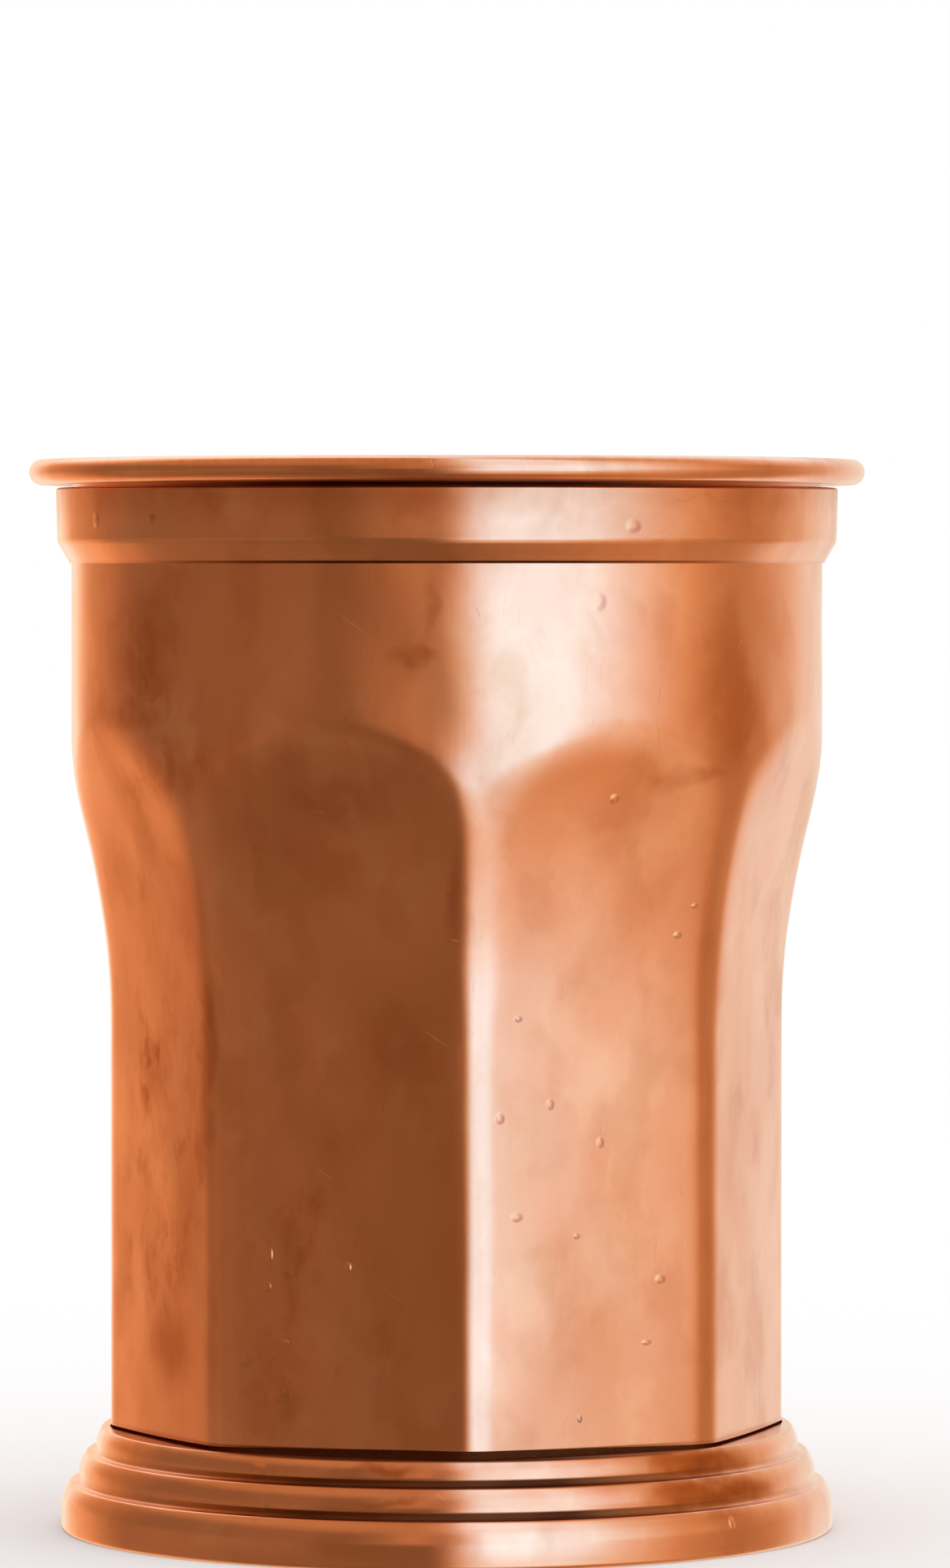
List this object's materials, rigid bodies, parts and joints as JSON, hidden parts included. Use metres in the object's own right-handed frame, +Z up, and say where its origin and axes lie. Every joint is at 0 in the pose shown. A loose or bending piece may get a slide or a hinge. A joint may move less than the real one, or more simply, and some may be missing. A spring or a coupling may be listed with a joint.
{
  "type": "julep cup",
  "caption": "Copper julep cup, round above and eight-sided below, with arched flats, rolled rim, collar band and stepped round foot.",
  "frame": {"origin": "middle of the face that the cup stands on", "axes": "+Z up along the cup's axis; +X, -X, +Y and -Y each point along a ridge between two flats"},
  "size_m": [0.089, 0.089, 0.1139],
  "materials": {
    "body_copper": "satin copper, softly polished, with patina",
    "wire_copper": "drawn copper wire",
    "collar_copper": "satin copper",
    "inside_copper": "satin copper, turned",
    "solder": "dull tin solder",
    "seam_solder": "tin solder darkened with oxide",
    "foot_copper": "spun satin copper",
    "base_copper": "turned satin copper"
  },
  "bodies": {
    "root": {"body_shell": "body_copper", "rim_wire": "wire_copper", "collar_band": "collar_copper", "cup_floor": "inside_copper", "floor_solder": "solder", "foot_solder": "seam_solder", "foot_ring": "foot_copper", "base_disc": "base_copper"}
  },
  "joints": []
}
